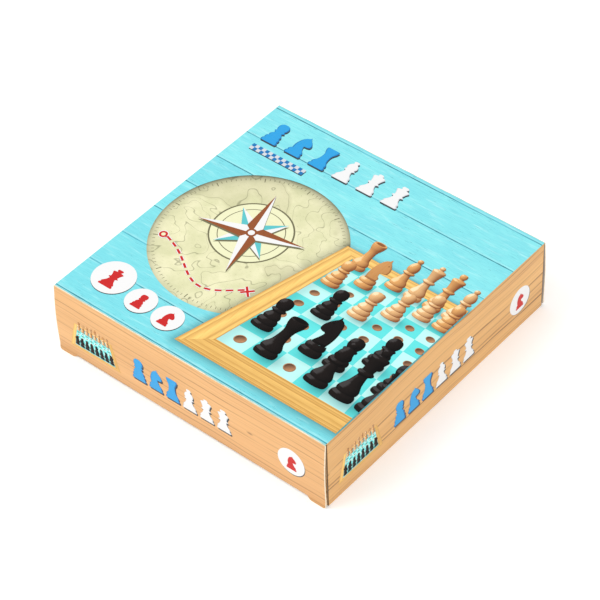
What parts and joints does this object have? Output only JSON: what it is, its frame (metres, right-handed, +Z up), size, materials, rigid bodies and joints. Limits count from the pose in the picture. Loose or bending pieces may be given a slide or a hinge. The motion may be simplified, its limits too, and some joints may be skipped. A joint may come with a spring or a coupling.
{
  "type": "travel chess set",
  "caption": "Closed square tuck-end carton holding a framed wooden peg board with turned chess pieces standing in its holes.",
  "frame": {"origin": "on the ground under the middle of the closed carton", "axes": "+Z up; -Y is the front end closure, the one at lower left in the picture; +X is the plain side panel at lower right; the sleeve is open along Y"},
  "size_m": [0.18, 0.18, 0.0455],
  "materials": {
    "printed_card": "printed card with a soft gloss, wood-grain print",
    "printed_top": "printed card with a soft gloss, teal plank print",
    "paper": "matt white paper",
    "hardboard": "raw brown hardboard",
    "chequered_plate": "wood panel, screen-printed teal and pale squares",
    "frame_wood": "golden wood under satin varnish",
    "light_wood": "turned light wood, thin varnish",
    "dark_wood": "turned wood stained black, satin"
  },
  "bodies": {
    "sleeve_and_board": {"bottom_panel": "printed_card", "top_panel": "printed_top", "left_side_panel": "printed_card", "right_side_panel": "printed_card", "glue_flap": "printed_card", "rules_leaflet": "paper", "backing_board": "hardboard", "drilled_plate": "chequered_plate", "front_rail": "frame_wood", "right_rail": "frame_wood", "rear_rail": "frame_wood", "left_rail": "frame_wood"},
    "front_closure": {"front_closure": "printed_card"},
    "front_tuck": {"front_tuck_flap": "printed_card"},
    "front_left_dust": {"front_left_dust_flap": "printed_card"},
    "front_right_dust": {"front_right_dust_flap": "printed_card"},
    "rear_closure": {"rear_closure": "printed_card"},
    "rear_tuck": {"rear_tuck_flap": "printed_card"},
    "rear_left_dust": {"rear_left_dust_flap": "printed_card"},
    "rear_right_dust": {"rear_right_dust_flap": "printed_card"},
    "light_rook_a": {"light_rook_a": "light_wood"},
    "light_knight_b": {"light_knight_b": "light_wood"},
    "light_bishop_c": {"light_bishop_c": "light_wood"},
    "light_queen_d": {"light_queen_d": "light_wood"},
    "light_king_e": {"light_king_e": "light_wood"},
    "light_bishop_f": {"light_bishop_f": "light_wood"},
    "light_knight_g": {"light_knight_g": "light_wood"},
    "light_rook_h": {"light_rook_h": "light_wood"},
    "light_pawn_a": {"light_pawn_a": "light_wood"},
    "light_pawn_b": {"light_pawn_b": "light_wood"},
    "light_pawn_c": {"light_pawn_c": "light_wood"},
    "light_pawn_d": {"light_pawn_d": "light_wood"},
    "light_pawn_e": {"light_pawn_e": "light_wood"},
    "light_pawn_f": {"light_pawn_f": "light_wood"},
    "light_pawn_g": {"light_pawn_g": "light_wood"},
    "light_pawn_h": {"light_pawn_h": "light_wood"},
    "dark_rook_a": {"dark_rook_a": "dark_wood"},
    "dark_knight_b": {"dark_knight_b": "dark_wood"},
    "dark_bishop_c": {"dark_bishop_c": "dark_wood"},
    "dark_queen_d": {"dark_queen_d": "dark_wood"},
    "dark_king_e": {"dark_king_e": "dark_wood"},
    "dark_bishop_f": {"dark_bishop_f": "dark_wood"},
    "dark_knight_g": {"dark_knight_g": "dark_wood"},
    "dark_rook_h": {"dark_rook_h": "dark_wood"},
    "dark_pawn_a": {"dark_pawn_a": "dark_wood"},
    "dark_pawn_b": {"dark_pawn_b": "dark_wood"},
    "dark_pawn_c": {"dark_pawn_c": "dark_wood"},
    "dark_pawn_d": {"dark_pawn_d": "dark_wood"},
    "dark_pawn_e": {"dark_pawn_e": "dark_wood"},
    "dark_pawn_f": {"dark_pawn_f": "dark_wood"},
    "dark_pawn_g": {"dark_pawn_g": "dark_wood"},
    "dark_pawn_h": {"dark_pawn_h": "dark_wood"}
  },
  "joints": [
    {"name": "front_closure_fold", "type": "hinge", "parent": "sleeve_and_board", "child": "front_closure", "pos_m": [0, -0.08975, 0.0453], "axis": [-1, 0, 0], "range_deg": [0, 180]},
    {"name": "front_tuck_fold", "type": "hinge", "parent": "front_closure", "child": "front_tuck", "pos_m": [0, -0.08975, 0.00305], "axis": [-1, 0, 0], "range_deg": [0, 90]},
    {"name": "front_left_dust_fold", "type": "hinge", "parent": "sleeve_and_board", "child": "front_left_dust", "pos_m": [-0.08975, -0.08895, 0.02278], "axis": [0, 0, -1], "range_deg": [0, 90]},
    {"name": "front_right_dust_fold", "type": "hinge", "parent": "sleeve_and_board", "child": "front_right_dust", "pos_m": [0.08975, -0.08895, 0.02278], "axis": [0, 0, 1], "range_deg": [0, 90]},
    {"name": "rear_closure_fold", "type": "hinge", "parent": "sleeve_and_board", "child": "rear_closure", "pos_m": [0, 0.08975, 0.0453], "axis": [1, 0, 0], "range_deg": [0, 180]},
    {"name": "rear_tuck_fold", "type": "hinge", "parent": "rear_closure", "child": "rear_tuck", "pos_m": [0, 0.08975, 0.00305], "axis": [1, 0, 0], "range_deg": [0, 90]},
    {"name": "rear_left_dust_fold", "type": "hinge", "parent": "sleeve_and_board", "child": "rear_left_dust", "pos_m": [-0.08975, 0.08895, 0.02278], "axis": [0, 0, 1], "range_deg": [0, 90]},
    {"name": "rear_right_dust_fold", "type": "hinge", "parent": "sleeve_and_board", "child": "rear_right_dust", "pos_m": [0.08975, 0.08895, 0.02278], "axis": [0, 0, -1], "range_deg": [0, 90]},
    {"name": "lift_light_rook_a", "type": "slide", "parent": "sleeve_and_board", "child": "light_rook_a", "axis": [0, 0, 1], "range_m": [0, 0.0052]},
    {"name": "lift_light_knight_b", "type": "slide", "parent": "sleeve_and_board", "child": "light_knight_b", "axis": [0, 0, 1], "range_m": [0, 0.0052]},
    {"name": "lift_light_bishop_c", "type": "slide", "parent": "sleeve_and_board", "child": "light_bishop_c", "axis": [0, 0, 1], "range_m": [0, 0.0052]},
    {"name": "lift_light_queen_d", "type": "slide", "parent": "sleeve_and_board", "child": "light_queen_d", "axis": [0, 0, 1], "range_m": [0, 0.0052]},
    {"name": "lift_light_king_e", "type": "slide", "parent": "sleeve_and_board", "child": "light_king_e", "axis": [0, 0, 1], "range_m": [0, 0.0052]},
    {"name": "lift_light_bishop_f", "type": "slide", "parent": "sleeve_and_board", "child": "light_bishop_f", "axis": [0, 0, 1], "range_m": [0, 0.0052]},
    {"name": "lift_light_knight_g", "type": "slide", "parent": "sleeve_and_board", "child": "light_knight_g", "axis": [0, 0, 1], "range_m": [0, 0.0052]},
    {"name": "lift_light_rook_h", "type": "slide", "parent": "sleeve_and_board", "child": "light_rook_h", "axis": [0, 0, 1], "range_m": [0, 0.0052]},
    {"name": "lift_light_pawn_a", "type": "slide", "parent": "sleeve_and_board", "child": "light_pawn_a", "axis": [0, 0, 1], "range_m": [0, 0.0052]},
    {"name": "lift_light_pawn_b", "type": "slide", "parent": "sleeve_and_board", "child": "light_pawn_b", "axis": [0, 0, 1], "range_m": [0, 0.0052]},
    {"name": "lift_light_pawn_c", "type": "slide", "parent": "sleeve_and_board", "child": "light_pawn_c", "axis": [0, 0, 1], "range_m": [0, 0.0052]},
    {"name": "lift_light_pawn_d", "type": "slide", "parent": "sleeve_and_board", "child": "light_pawn_d", "axis": [0, 0, 1], "range_m": [0, 0.0052]},
    {"name": "lift_light_pawn_e", "type": "slide", "parent": "sleeve_and_board", "child": "light_pawn_e", "axis": [0, 0, 1], "range_m": [0, 0.0052]},
    {"name": "lift_light_pawn_f", "type": "slide", "parent": "sleeve_and_board", "child": "light_pawn_f", "axis": [0, 0, 1], "range_m": [0, 0.0052]},
    {"name": "lift_light_pawn_g", "type": "slide", "parent": "sleeve_and_board", "child": "light_pawn_g", "axis": [0, 0, 1], "range_m": [0, 0.0052]},
    {"name": "lift_light_pawn_h", "type": "slide", "parent": "sleeve_and_board", "child": "light_pawn_h", "axis": [0, 0, 1], "range_m": [0, 0.0052]},
    {"name": "lift_dark_rook_a", "type": "slide", "parent": "sleeve_and_board", "child": "dark_rook_a", "axis": [0, 0, 1], "range_m": [0, 0.0052]},
    {"name": "lift_dark_knight_b", "type": "slide", "parent": "sleeve_and_board", "child": "dark_knight_b", "axis": [0, 0, 1], "range_m": [0, 0.0052]},
    {"name": "lift_dark_bishop_c", "type": "slide", "parent": "sleeve_and_board", "child": "dark_bishop_c", "axis": [0, 0, 1], "range_m": [0, 0.0052]},
    {"name": "lift_dark_queen_d", "type": "slide", "parent": "sleeve_and_board", "child": "dark_queen_d", "axis": [0, 0, 1], "range_m": [0, 0.0052]},
    {"name": "lift_dark_king_e", "type": "slide", "parent": "sleeve_and_board", "child": "dark_king_e", "axis": [0, 0, 1], "range_m": [0, 0.0052]},
    {"name": "lift_dark_bishop_f", "type": "slide", "parent": "sleeve_and_board", "child": "dark_bishop_f", "axis": [0, 0, 1], "range_m": [0, 0.0052]},
    {"name": "lift_dark_knight_g", "type": "slide", "parent": "sleeve_and_board", "child": "dark_knight_g", "axis": [0, 0, 1], "range_m": [0, 0.0052]},
    {"name": "lift_dark_rook_h", "type": "slide", "parent": "sleeve_and_board", "child": "dark_rook_h", "axis": [0, 0, 1], "range_m": [0, 0.0052]},
    {"name": "lift_dark_pawn_a", "type": "slide", "parent": "sleeve_and_board", "child": "dark_pawn_a", "axis": [0, 0, 1], "range_m": [0, 0.0052]},
    {"name": "lift_dark_pawn_b", "type": "slide", "parent": "sleeve_and_board", "child": "dark_pawn_b", "axis": [0, 0, 1], "range_m": [0, 0.0052]},
    {"name": "lift_dark_pawn_c", "type": "slide", "parent": "sleeve_and_board", "child": "dark_pawn_c", "axis": [0, 0, 1], "range_m": [0, 0.0052]},
    {"name": "lift_dark_pawn_d", "type": "slide", "parent": "sleeve_and_board", "child": "dark_pawn_d", "axis": [0, 0, 1], "range_m": [0, 0.0052]},
    {"name": "lift_dark_pawn_e", "type": "slide", "parent": "sleeve_and_board", "child": "dark_pawn_e", "axis": [0, 0, 1], "range_m": [0, 0.0052]},
    {"name": "lift_dark_pawn_f", "type": "slide", "parent": "sleeve_and_board", "child": "dark_pawn_f", "axis": [0, 0, 1], "range_m": [0, 0.0052]},
    {"name": "lift_dark_pawn_g", "type": "slide", "parent": "sleeve_and_board", "child": "dark_pawn_g", "axis": [0, 0, 1], "range_m": [0, 0.0052]},
    {"name": "lift_dark_pawn_h", "type": "slide", "parent": "sleeve_and_board", "child": "dark_pawn_h", "axis": [0, 0, 1], "range_m": [0, 0.0052]}
  ],
  "couplings": [
    {"joint": "front_tuck_fold", "follows": "front_closure_fold", "ratio": 0.5},
    {"joint": "front_left_dust_fold", "follows": "front_closure_fold", "ratio": 0.5},
    {"joint": "front_right_dust_fold", "follows": "front_closure_fold", "ratio": 0.5},
    {"joint": "rear_tuck_fold", "follows": "rear_closure_fold", "ratio": 0.5},
    {"joint": "rear_left_dust_fold", "follows": "rear_closure_fold", "ratio": 0.5},
    {"joint": "rear_right_dust_fold", "follows": "rear_closure_fold", "ratio": 0.5}
  ]
}
